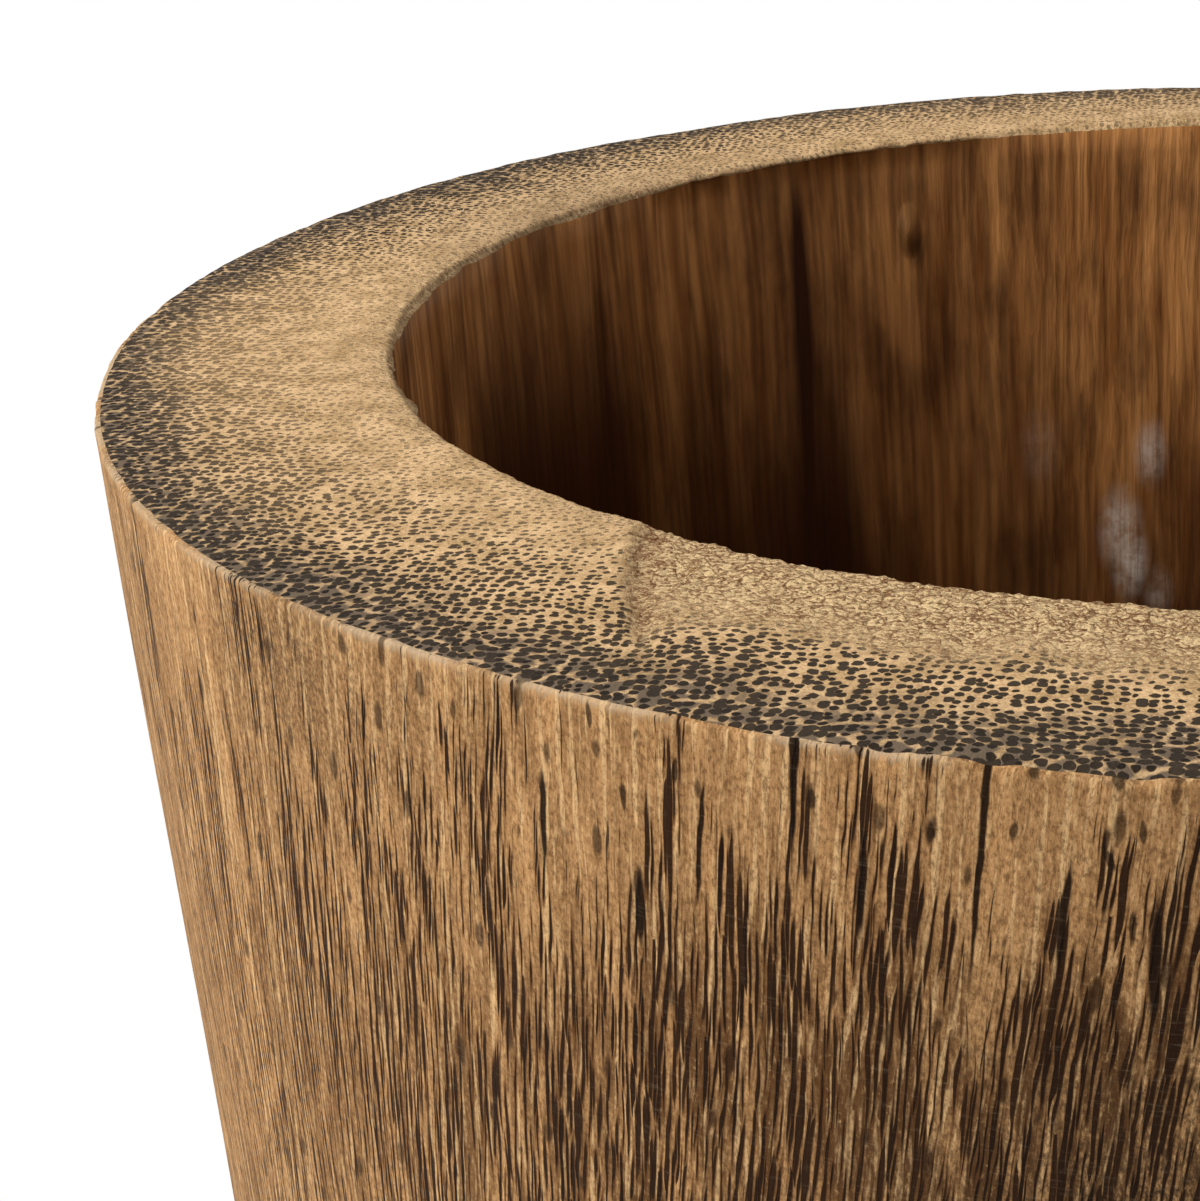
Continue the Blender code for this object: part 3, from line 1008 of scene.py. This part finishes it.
@dataclass(frozen=True)
class Sheet:
    """Where a zone lies on the wall's flat layout: in how many strips, and between which heights."""

    strips: int
    low: float
    high: float


@dataclass
class Profile:
    """One stretch of the wall's outline, from the foot up the outside and back down the bore."""

    radius: np.ndarray
    height: np.ndarray
    zone: PalmZone
    fine: bool = False


@dataclass
class Spot:
    """The wall's grid of points, outline by turn, with what the relief is worked out from."""

    share: np.ndarray
    run: np.ndarray
    z: np.ndarray
    across: np.ndarray
    on_rim: np.ndarray
    torn: np.ndarray
    chipped: np.ndarray
    side: np.ndarray
    bore: np.ndarray


@dataclass
class PotWall:
    """The turned wall: a tapered shell whose heights are read from its CAD node.

    The outline is a closed loop of stretches carried round the axis. The wall is slightly out of round
    and its bore slightly off centre at the rim, and both fade out evenly towards the floor.
    """

    low: np.ndarray
    high: np.ndarray
    foot_radius: float = 96.0 * MM
    rim_radius: float = 110.0 * MM
    mouth_radius: float = 84.0 * MM
    ledge_radius: float = 72.5 * MM
    foot_hole_radius: float = 58.5 * MM
    ledge_thickness: float = 14.0 * MM
    outer_edge: float = 0.35 * MM
    inner_edge: float = 0.7 * MM
    foot_edge: float = 2.0 * MM
    hole_edge: float = 1.0 * MM
    round_to_z: float = 45.0 * MM
    oval: float = 0.0315
    oval_angle: float = np.radians(74.2)
    bore_shift: tuple[float, float] = (-1.0 * MM, 3.9 * MM)
    screw_circle: float = 65.5 * MM
    screw_head: float = 4.3 * MM
    screw_depth: float = 1.6 * MM
    screw_count: int = 4
    around: int = 1440
    edge_rows: int = 5
    tight_rows: int = 4
    wall_rows: int = 18
    rim_rows: int = 27
    bore_rows: int = 15
    screw_rows: int = 15
    face_rows: int = 3
    wall_power: float = 1.7
    bore_power: float = 1.5
    torn_line_deg: float = -118.2
    torn_line_across: float = 0.23
    torn_line_slant: float = 12.0
    torn_limit: float = -0.1
    torn_wider: float = 0.42
    torn_at_tear: float = 0.4
    torn_wander: Ripple = Ripple(0.08, 48, 3)
    torn_fray: Ripple = Ripple(0.06, 260, 4, 3.0)
    tear_turn: float = 0.003
    tear_shadow_depth: float = 0.8
    chipped_deg: float = -93.0
    chipped_wide_deg: float = 9.0
    chipped_more: float = 4.0
    rim_fade: tuple[float, float] = (2.5 * MM, 0.2 * MM)
    foot_fade: tuple[float, float] = (2.0 * MM, 30.0 * MM)
    ledge_fade: float = 25.0 * MM
    ridges: tuple[Ripple, ...] = (Ripple(0.1, 230, 11, 30.0), Ripple(0.3, 24, 12, 60.0))
    flutes: tuple[Ripple, ...] = (Ripple(0.55, 46, 13, 70.0), Ripple(0.35, 150, 14, 25.0))
    ragged: tuple[Ripple, ...] = (Ripple(0.24, 1440, 16, 0.5), Ripple(0.14, 310, 17))
    bites: Ripple = Ripple(1.0, 420, 15)
    bite_mm: float = -0.09
    waves: Ripple = Ripple(0.18, 30, 21, 9.0)
    crumbs: tuple[Ripple, ...] = (Ripple(0.11, 1440, 22, 0.95), Ripple(0.12, 300, 23, 2.2))
    torn_mm: float = -0.5
    broken: Ripple = Ripple(1.0, 420, 24)
    broken_mm: float = -0.07
    inner_fall: Ripple = Ripple(0.3, 420, 25)
    inner_fall_mm: float = -0.2
    stains_and_shades: tuple[StainAndShade, ...] = (
        # This one greys and darkens the rim's far left a little.
        StainAndShade(-149.5, 6.0, 16.0, 7.0, 0.1),
        StainAndShade(-154.0, -60.0, 60.0, 85.0, streaked_mm=-54.0),
        StainAndShade(-152.0, -7.0, 28.0, 12.0, 0.25),
        StainAndShade(-117.0, -8.0, 12.0, 10.0, streaked_mm=-9.0),
        StainAndShade(-99.0, -5.0, 16.0, 10.0, streaked_mm=-9.0),
        StainAndShade(-168.0, 16.0, 56.0, 16.0, -0.65),
        StainAndShade(-120.0, -4.0, 8.0, 6.0, 0.15),
        StainAndShade(-127.0, -5.0, 9.0, 9.0, 0.6),
        # These two darken the lower front right of the wall: partly darker, more crowded wood, partly
        # painted shade.
        StainAndShade(-88.0, -52.0, 32.0, 32.0, 0.8, 32.0),
        StainAndShade(-89.5, -33.0, 18.0, 14.0, 0.6),
        # Painted shade low in the bore on this side.
        StainAndShade(165.0, 80.0, 60.0, 70.0, 1.1),
        StainAndShade(100.0, 15.0, 120.0, 22.0, -0.2),
        StainAndShade(132.2, 42.0, 1.2, 17.0, 1.2),
    )
    sheets: dict[PalmZone, Sheet] = field(
        default_factory=lambda: {
            PalmZone.SIDE: Sheet(2, 0.002, 0.490),
            PalmZone.RIM: Sheet(3, 0.495, 0.830),
            PalmZone.BORE: Sheet(1, 0.835, 0.955),
            PalmZone.FOOT: Sheet(1, 0.960, 0.998),
        }
    )
    sheet_margin: float = 0.006
    strip_margin: float = 0.02

    def stretches(self) -> list[Profile]:
        """The outline's stretches in order, each without its last point.

        Straight stretches are spaced by powers of a share, so that they are denser near the rim. The
        edges are quarter turns.

        Returns:
            The stretches from the foot's outer edge round to the foot's face.
        """
        foot, rim = self.low[2], self.high[2]
        ledge = foot + self.ledge_thickness
        taper = (self.rim_radius - self.foot_radius) / (rim - foot)
        quarter = np.linspace(0.0, np.pi / 2, self.edge_rows, endpoint=False)
        tight = np.linspace(0.0, np.pi / 2, self.tight_rows, endpoint=False)
        rise = 1.0 - np.linspace(1.0, 0.0, self.wall_rows, endpoint=False) ** self.wall_power
        wall_z = foot + self.foot_edge + rise * (rim - self.outer_edge - foot - self.foot_edge)
        across = np.linspace(1.0, 0.0, self.rim_rows, endpoint=False)
        rim_out = self.rim_radius - self.outer_edge
        rim_in = self.mouth_radius + self.inner_edge
        fall = np.linspace(0.0, 1.0, self.bore_rows, endpoint=False) ** self.bore_power
        bore_z = rim - self.inner_edge - fall * (rim - self.inner_edge - ledge)
        widening = self.mouth_radius - self.ledge_radius
        bore_r = self.ledge_radius + (bore_z - ledge) * widening / (rim - ledge)
        hole = self.foot_hole_radius
        past_screws = self.screw_circle + self.screw_head + self.hole_edge
        near_r = np.linspace(hole + self.hole_edge, past_screws, self.screw_rows, endpoint=False)
        foot_flat = self.foot_radius - self.foot_edge
        face_r = np.append(near_r, np.linspace(past_screws, foot_flat, self.face_rows, endpoint=False))
        return [
            Profile(
                self.foot_radius - self.foot_edge * (1.0 - np.sin(quarter)),
                foot + self.foot_edge * (1.0 - np.cos(quarter)),
                PalmZone.SIDE,
            ),
            Profile(self.foot_radius + (wall_z - foot) * taper, wall_z, PalmZone.SIDE),
            Profile(
                rim_out + self.outer_edge * np.cos(tight),
                rim - self.outer_edge * (1.0 - np.sin(tight)),
                PalmZone.SIDE,
                fine=True,
            ),
            Profile(
                rim_in + across * (rim_out - rim_in),
                np.full_like(across, rim),
                PalmZone.RIM,
                fine=True,
            ),
            Profile(
                rim_in - self.inner_edge * np.sin(quarter),
                rim - self.inner_edge * (1.0 - np.cos(quarter)),
                PalmZone.RIM,
                fine=True,
            ),
            Profile(bore_r, bore_z, PalmZone.BORE),
            Profile(np.array([self.ledge_radius, hole + self.hole_edge]), np.full(2, ledge), PalmZone.BORE),
            Profile(
                np.full(2, hole),
                np.array([ledge - self.hole_edge, foot + self.hole_edge]),
                PalmZone.FOOT,
            ),
            Profile(face_r, np.full_like(face_r, foot), PalmZone.FOOT),
        ]

    def build(self) -> bpy.types.Object:
        """Carries the outline round the axis, adds the relief and makes the closed mesh.

        Returns:
            The wall's object.
        """
        parts = self.stretches()
        radius = np.concatenate([p.radius for p in parts])
        height = np.concatenate([p.height for p in parts])
        zones = np.concatenate([np.full(len(p.radius), p.zone.value) for p in parts])
        fine = np.concatenate([np.full(len(p.radius), p.fine) for p in parts])
        loop_r, loop_z = np.append(radius, radius[0]), np.append(height, height[0])
        run = np.concatenate([[0.0], np.cumsum(np.hypot(np.diff(loop_r), np.diff(loop_z)))])
        turn = np.linspace(0.0, 1.0, self.around, endpoint=False)
        share, r = np.meshgrid(turn, radius)
        angle = share * TURN
        spot = self.spot(share, r, height, run[:-1], zones)
        r = r + self.relief_out(spot)
        z = spot.z + self.relief_up(spot)
        z = z + self.countersinks(angle, r, z)
        lift = np.clip((z - self.round_to_z) / (self.high[2] - self.round_to_z), 0.0, None)
        r = r * (1.0 + self.oval * lift * np.cos(2.0 * (angle - self.oval_angle)))
        inward = lift * np.where(spot.side, 0.0, 1.0 - spot.across)
        x = r * np.cos(angle) + self.bore_shift[0] * inward
        y = r * np.sin(angle) + self.bore_shift[1] * inward
        points = np.stack([x, y, z], axis=-1)
        stain_and_shade, streaked = self.darkness_and_streaks(spot, run, zones)
        layers = {"across": spot.across, "torn": spot.torn, "stain_and_shade": stain_and_shade, "streaked": streaked}
        return self.mesh("turned_wall", points, layers, (run, zones, fine))

    def spot(
        self, share: np.ndarray, r: np.ndarray, height: np.ndarray, run: np.ndarray, zones: np.ndarray
    ) -> Spot:
        """What the relief is worked out from, on the whole grid.

        Args:
            share: Share of the turn, outline by turn.
            r: Plain radius, outline by turn.
            height: Height of each outline point.
            run: Distance of each outline point along the outline.
            zones: Zone of each outline point.

        Returns:
            The grid's masks and distances.
        """
        z = np.broadcast_to(height[:, None], r.shape)
        runs = np.broadcast_to(run[:, None], r.shape)
        across = np.clip((r - self.mouth_radius) / (self.rim_radius - self.mouth_radius), 0.0, 1.0)
        on_rim = smooth(*(self.high[2] - fade for fade in self.rim_fade), z)
        side = (zones == PalmZone.SIDE.value)[:, None]
        bore = (zones == PalmZone.BORE.value)[:, None]
        torn = self.torn_grain(share, across, runs) * on_rim
        off = np.mod(share - self.chipped_deg / 360.0 + 0.5, 1.0) - 0.5
        chipped = 1.0 + self.chipped_more * np.exp(-((off * 360.0 / self.chipped_wide_deg) ** 2))
        return Spot(share, runs, z, across, on_rim, torn, chipped, side, bore)

    def past_tear(self, share: np.ndarray, across: np.ndarray) -> np.ndarray:
        """Share of a turn past the slanting tear in the rim, from 0 to 1."""
        line = self.torn_line_deg + self.torn_line_slant * (across - self.torn_line_across)
        return np.mod(share - line / 360.0, 1.0)

    def torn_grain(self, share: np.ndarray, across: np.ndarray, run: np.ndarray) -> np.ndarray:
        """How torn the end grain is: 1 near the bore, up to a limit that wanders round the rim.

        The limit is noise round the turn, narrow on one side of a slanting tear and wide on the other,
        and widest right past the tear, from where it falls off exponentially.

        Args:
            share: Share of the turn.
            across: Share of the way over the rim, from the bore outwards.
            run: Distance along the outline.

        Returns:
            The mask from 0 to 1.
        """
        past = self.past_tear(share, across)
        wide = smooth(0.0, 0.0014, past) * (1.0 - smooth(0.2, 0.35, past))
        limit = self.torn_limit + self.torn_wider * wide + self.torn_wander.on(share, run)
        limit = limit + self.torn_at_tear * np.exp(-past / self.tear_turn)
        limit = limit + self.torn_fray.on(share, run)
        return 1.0 - smooth(-0.12, 0.2, across - limit)

    def darkness_and_streaks(self, spot: Spot, run: np.ndarray, zones: np.ndarray) -> tuple[np.ndarray, np.ndarray]:
        """How dark and how streaked the wood is, with painted shade in the darkness.

        Both are sums of bells round the turn and along the outline. The darkness starts with a painted
        shadow along the tear in the rim, from which it falls off exponentially, and some bells are painted
        shade on the lower front of the wall and low in the bore.

        Args:
            spot: The wall's grid.
            run: Distance along the outline.
            zones: Zone of each outline point.

        Returns:
            The darkness with its painted shade, negative where the wood is lighter, and the shift of the
            streaks in millimetres.
        """
        edge = run[:-1][zones == PalmZone.RIM.value][0]
        tear = np.exp(-self.past_tear(spot.share, spot.across) / self.tear_turn)
        # Painted shadow along the tear: the torn pith is darkened right past the tear line, fading off
        # round the turn.
        dark, streaked = self.tear_shadow_depth * tear * spot.torn, np.zeros_like(spot.share)
        for stain_and_shade in self.stains_and_shades:
            off = np.mod(spot.share - stain_and_shade.turn_deg / 360.0 + 0.5, 1.0) - 0.5
            round_it = off * TURN * self.rim_radius / (stain_and_shade.wide_mm * MM)
            along_it = (spot.run - edge - stain_and_shade.along_mm * MM) / (stain_and_shade.long_mm * MM)
            bell = np.exp(-(round_it**2) - along_it**2)
            dark += stain_and_shade.depth * bell
            streaked += stain_and_shade.streaked_mm * bell
        return dark, streaked

    def relief_out(self, spot: Spot) -> np.ndarray:
        """Radial relief in metres: fibre ridges outside, gouge flutes inside, ragged rim edges.

        Each is value noise, faded out near the foot or the ledge, or kept to the rim's edges.

        Args:
            spot: The wall's grid.

        Returns:
            The outward move of each point.
        """
        ridges, flutes, ragged = (
            sum(layer.on(spot.share, spot.run) for layer in layers)
            for layers in (self.ridges, self.flutes, self.ragged)
        )
        foot, ledge = self.low[2], self.low[2] + self.ledge_thickness
        above_foot = smooth(*(foot + fade for fade in self.foot_fade), spot.z)
        above_ledge = smooth(ledge, ledge + self.ledge_fade, spot.z)
        bites = smooth(0.5, 1.0, np.abs(self.bites.on(spot.share, spot.run)))
        chips = self.bite_mm * spot.chipped * bites * smooth(0.94, 1.0, spot.across) * spot.on_rim
        inner = ragged * (0.15 + 0.85 * spot.torn) * (1.0 - smooth(0.0, 0.1, spot.across)) * spot.on_rim
        return MM * (ridges * spot.side * above_foot + flutes * spot.bore * above_ledge + chips + inner)

    def relief_up(self, spot: Spot) -> np.ndarray:
        """Upward relief in metres: a hand-sanded rim, broken edges and crumbled pith.

        Each is value noise: waves all over, crumbs where the grain is torn, and a fall at either edge.

        Args:
            spot: The wall's grid.

        Returns:
            The upward move of each point.
        """
        waves, broken, inner = (
            layer.on(spot.share, spot.run) for layer in (self.waves, self.broken, self.inner_fall)
        )
        crumbs = sum(layer.on(spot.share, spot.run) for layer in self.crumbs)
        worn = self.broken_mm * smooth(0.95, 1.0, spot.across) * spot.chipped * (1.0 + broken)
        bore_side = self.inner_fall_mm * (1.0 - smooth(0.0, 0.12, spot.across)) * (1.0 + inner)
        return MM * spot.on_rim * (waves + spot.torn * (crumbs + self.torn_mm) + worn + bore_side)

    def countersinks(self, angle: np.ndarray, r: np.ndarray, z: np.ndarray) -> np.ndarray:
        """Upward move that sinks a cone into the foot's face round each screw head.

        Args:
            angle: Angle round the axis.
            r: Radius.
            z: Height.

        Returns:
            The upward move of each point.
        """
        step = TURN / self.screw_count
        off = np.mod(angle + step / 2, step) - step / 2
        away = np.hypot(r * np.cos(off) - self.screw_circle, r * np.sin(off))
        depth = self.screw_depth + (self.screw_head - away)
        on_face = np.abs(z - self.low[2]) < 0.1 * MM
        return np.where(on_face & (away < self.screw_head), depth, 0.0)

    def corners(self, fine: np.ndarray) -> tuple[np.ndarray, np.ndarray]:
        """The faces' corners as turn steps and outline rows, which may run one past the end.

        Between two fine rows or two coarse rows the faces are quads. Coarse rows keep every second turn
        step, so between a fine and a coarse row each coarse step takes three triangles.

        Args:
            fine: Which outline rows are fine.

        Returns:
            Corners of the quads and of the triangles.
        """
        quads, triangles = [], []
        for row, (here, after) in enumerate(zip(fine, np.roll(fine, -1))):
            step = 1 if here and after else 2
            a = np.arange(0, self.around, step)
            b, middle = a + step, a + 1
            low, high = np.full_like(a, row), np.full_like(a, row + 1)
            if here == after:
                quads.append(np.array([(a, low), (b, low), (b, high), (a, high)]))
            elif here:
                triangles.append(np.array([(a, low), (middle, low), (a, high)]))
                triangles.append(np.array([(middle, low), (b, high), (a, high)]))
                triangles.append(np.array([(middle, low), (b, low), (b, high)]))
            else:
                triangles.append(np.array([(a, low), (b, low), (middle, high)]))
                triangles.append(np.array([(a, low), (middle, high), (a, high)]))
                triangles.append(np.array([(b, low), (b, high), (middle, high)]))
        return tuple(np.concatenate(group, axis=2).transpose(2, 0, 1) for group in (quads, triangles))

    def flat(self, corners: np.ndarray, run: np.ndarray, zones: np.ndarray) -> np.ndarray:
        """Places of face corners on the wall's flat layout.

        Each zone is cut into strips round the turn, stacked between the zone's heights.

        Args:
            corners: Turn step and outline row of each corner of each face.
            run: Distance along the outline.
            zones: Zone of each outline point.

        Returns:
            The two layout coordinates of each corner.
        """
        step, row = corners[..., 0], corners[..., 1]
        out = np.zeros(corners.shape, dtype=np.float32)
        for zone, sheet in self.sheets.items():
            rows = np.flatnonzero(zones == zone.value)
            start, end = run[rows[0]], run[rows[-1] + 1]
            here = zones[row.min(axis=1)] == zone.value
            steps = self.around / sheet.strips
            strip = np.floor(step[here].min(axis=1, keepdims=True) / steps)
            u = step[here] / steps - strip
            v = (run[row[here]] - start) / (end - start)
            tall = (sheet.high - sheet.low) / sheet.strips
            v = self.strip_margin + (1.0 - 2.0 * self.strip_margin) * v
            out[here, :, 0] = self.sheet_margin + (1.0 - 2.0 * self.sheet_margin) * u
            out[here, :, 1] = sheet.low + tall * (strip + v)
        return out

    def mesh(
        self,
        name: str,
        points: np.ndarray,
        layers: dict[str, np.ndarray],
        outline: tuple[np.ndarray, np.ndarray, np.ndarray],
    ) -> bpy.types.Object:
        """A closed mesh from a grid that wraps round both ways.

        Args:
            name: The object's name.
            points: Grid of points, outline by turn.
            layers: Numbers kept on the points.
            outline: Distance, zone and fineness of the outline's points.

        Returns:
            The object, at the origin.
        """
        run, zones, fine = outline
        rows, steps = points.shape[:2]
        kept = fine[:, None] | (np.arange(steps) % 2 == 0)[None, :]
        index = np.cumsum(kept.ravel()).reshape(kept.shape) - 1
        groups = self.corners(fine)
        faces = [index[c[..., 1] % rows, c[..., 0] % steps] for c in groups]
        mesh = bpy.data.meshes.new(name)
        mesh.from_pydata(points[kept], [], [face for group in faces for face in group.tolist()])
        finish = np.concatenate([zones[c[..., 1].min(axis=1)] for c in groups])
        mesh.polygons.foreach_set("material_index", finish.astype(np.int32))
        layout = np.concatenate([self.flat(c, run, zones).reshape(-1, 2) for c in groups])
        mesh.uv_layers.new(name="OFBake").data.foreach_set("uv", layout.ravel())
        for key, values in layers.items():
            layer = mesh.attributes.new(key, "FLOAT", "POINT")
            layer.data.foreach_set("value", values[kept].astype(np.float32))
        mesh.shade_smooth()
        mesh.update()
        obj = bpy.data.objects.new(name, mesh)
        bpy.context.scene.collection.objects.link(obj)
        return obj

    def dress(self, obj: bpy.types.Object) -> None:
        """Gives each zone of the wall its palm wood finish."""
        grain = PalmGrain(self.high[2] / MM)
        finishes = {
            PalmZone.SIDE: TurnedPalmSide(grain),
            PalmZone.RIM: SandedPalmRim(grain),
            PalmZone.BORE: SealedPalmBore(replace(grain, twist=0.0)),
            PalmZone.FOOT: SawnPalmFoot(grain),
        }
        for zone in PalmZone:
            obj.data.materials.append(finishes[zone].build())


@dataclass
class FloorAssembly:
    """The let-in floor with its sealant, screws and the foot's pads, which keep their solids."""

    nodes: dict[str, bpy.types.Object]

    def dress(self) -> None:
        """Gives each solid its finish."""
        finishes = {
            "floor_disc": SealedPalmPlank().build(),
            "seal_bead": BrownSealant().build(),
            "floor_screw": PassivatedZinc().build(),
            "foot_pad": MouldedRubber().build(),
        }
        for name, node in self.nodes.items():
            for start, finish in finishes.items():
                if name.startswith(start):
                    node.data.materials.clear()
                    node.data.materials.append(finish)


@dataclass(frozen=True)
class Softbox:
    """A square lamp: its name, place and side in metres, and its power in watts."""

    name: str
    place: tuple[float, float, float]
    side: float
    watts: float


@dataclass
class Studio:
    """White floor, soft light and the photograph's camera."""

    rim_height: float
    rim_radius: float = 110.0 * MM
    focal_px: float = 2850.0
    distance: float = 2.429
    above_rim: float = 0.612
    yaw: float = np.radians(-13.97)
    pitch: float = np.radians(20.06)
    roll: float = np.radians(-2.29)
    sensor_mm: float = 36.0
    floor_half: float = 8.0
    paper: str = "#f2f2f2"
    white_from: tuple[float, float] = (0.12, 0.24)
    room_strength: float = 0.5
    softboxes: tuple[Softbox, ...] = (
        Softbox("softbox_key", (-0.78, -0.35, 0.9), 0.5, 17.0),
        Softbox("softbox_fill", (0.9, -1.0, 0.9), 0.8, 1.5),
    )

    def camera(self) -> None:
        """Places the camera close to the rim, turned to the left of the axis and tipped down."""
        forward = np.array([
            np.sin(self.yaw) * np.cos(self.pitch),
            np.cos(self.yaw) * np.cos(self.pitch),
            -np.sin(self.pitch),
        ])
        level = np.array([np.cos(self.yaw), -np.sin(self.yaw), 0.0])
        upright = np.cross(level, forward)
        right = level * np.cos(self.roll) + upright * np.sin(self.roll)
        up = upright * np.cos(self.roll) - level * np.sin(self.roll)
        away, above = self.distance * self.rim_radius, self.above_rim * self.rim_radius
        data = bpy.data.cameras.new("photo_camera")
        data.sensor_width = self.sensor_mm
        data.lens = self.focal_px * self.sensor_mm / max(PHOTO_SIZE)
        data.clip_start = 0.01
        camera = bpy.data.objects.new("photo_camera", data)
        camera.matrix_world = self.placed(right, up, -forward, (0.0, -away, self.rim_height + above))
        bpy.context.scene.collection.objects.link(camera)
        bpy.context.scene.camera = camera

    @staticmethod
    def placed(right: np.ndarray, up: np.ndarray, back: np.ndarray, place: tuple[float, ...]) -> Matrix:
        """A world matrix from three axes and a place."""
        matrix = np.eye(4)
        matrix[:3] = np.stack([right, up, back, place], axis=1)
        return Matrix(matrix.tolist())

    def floor(self) -> None:
        """A pale floor that takes the pot's shadow and is plain white to the camera further off."""
        corners = np.array([[-1, -1, 0], [1, -1, 0], [1, 1, 0], [-1, 1, 0]], dtype=float) * self.floor_half
        mesh = bpy.data.meshes.new("studio_floor")
        mesh.from_pydata(corners, [], [(0, 1, 2, 3)])
        floor = bpy.data.objects.new("studio_floor", mesh)
        bpy.context.scene.collection.objects.link(floor)
        g = Graph("studio_paper_white")
        away = g.add("VectorMath", (g.add("TexCoord", out="Object"),), "Value", operation="LENGTH")
        paper = g.add("BsdfDiffuse", (linear(self.paper),))
        glow = g.add("Emission", {"Color": (1.0, 1.0, 1.0, 1.0), "Strength": 1.0})
        seen = g.add("LightPath", out="Is Camera Ray")
        for ray in ("Is Glossy Ray", "Is Transmission Ray"):
            seen = g.add("Math", (seen, g.add("LightPath", out=ray)), **MOST)
        far = g.add("MapRange", (away, *self.white_from), **STEP)
        white = g.add("Math", (far, seen), **TIMES)
        g.add("OutputMaterial", (g.add("MixShader", (white, paper, glow)),))
        mesh.materials.append(g.material)

    def light(self) -> None:
        """A bright even room and a large soft lamp above and to the left of the camera."""
        world = bpy.data.worlds.new("studio_room")
        world.use_nodes = True
        room = world.node_tree.nodes["Background"]
        room.inputs["Color"].default_value = (1.0, 1.0, 1.0, 1.0)
        room.inputs["Strength"].default_value = self.room_strength
        bpy.context.scene.world = world
        target = np.array([0.0, 0.0, self.rim_height])
        for box in self.softboxes:
            data = bpy.data.lights.new(box.name, "AREA")
            data.size = box.side
            data.energy = box.watts
            lamp = bpy.data.objects.new(box.name, data)
            back = np.array(box.place) - target
            back = back / np.linalg.norm(back)
            side = np.cross([0.0, 0.0, 1.0], back)
            side = side / np.linalg.norm(side)
            lamp.matrix_world = self.placed(side, np.cross(back, side), back, box.place)
            bpy.context.scene.collection.objects.link(lamp)


def main() -> None:
    """Loads the frame, builds and dresses the pot and sets the studio."""
    logging.basicConfig(level=logging.INFO, format="%(name)s: %(message)s")
    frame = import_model()
    bpy.context.scene.view_settings.view_transform = "Standard"
    low, high = (np.array(corner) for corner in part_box("pot_wall"))
    wall = PotWall(low, high)
    piece = wall.build()
    wall.dress(piece)
    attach(piece, "root")
    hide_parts("pot_wall")
    LOG.info("turned wall: %d faces", len(piece.data.polygons))
    FloorAssembly(frame["nodes"]).dress()
    LOG.info("floor, sealant, screws and pads dressed")
    studio = Studio(rim_height=float(high[2]))
    studio.floor()
    studio.light()
    studio.camera()
    LOG.info("boxes written")


if __name__ == "__main__":
    main()
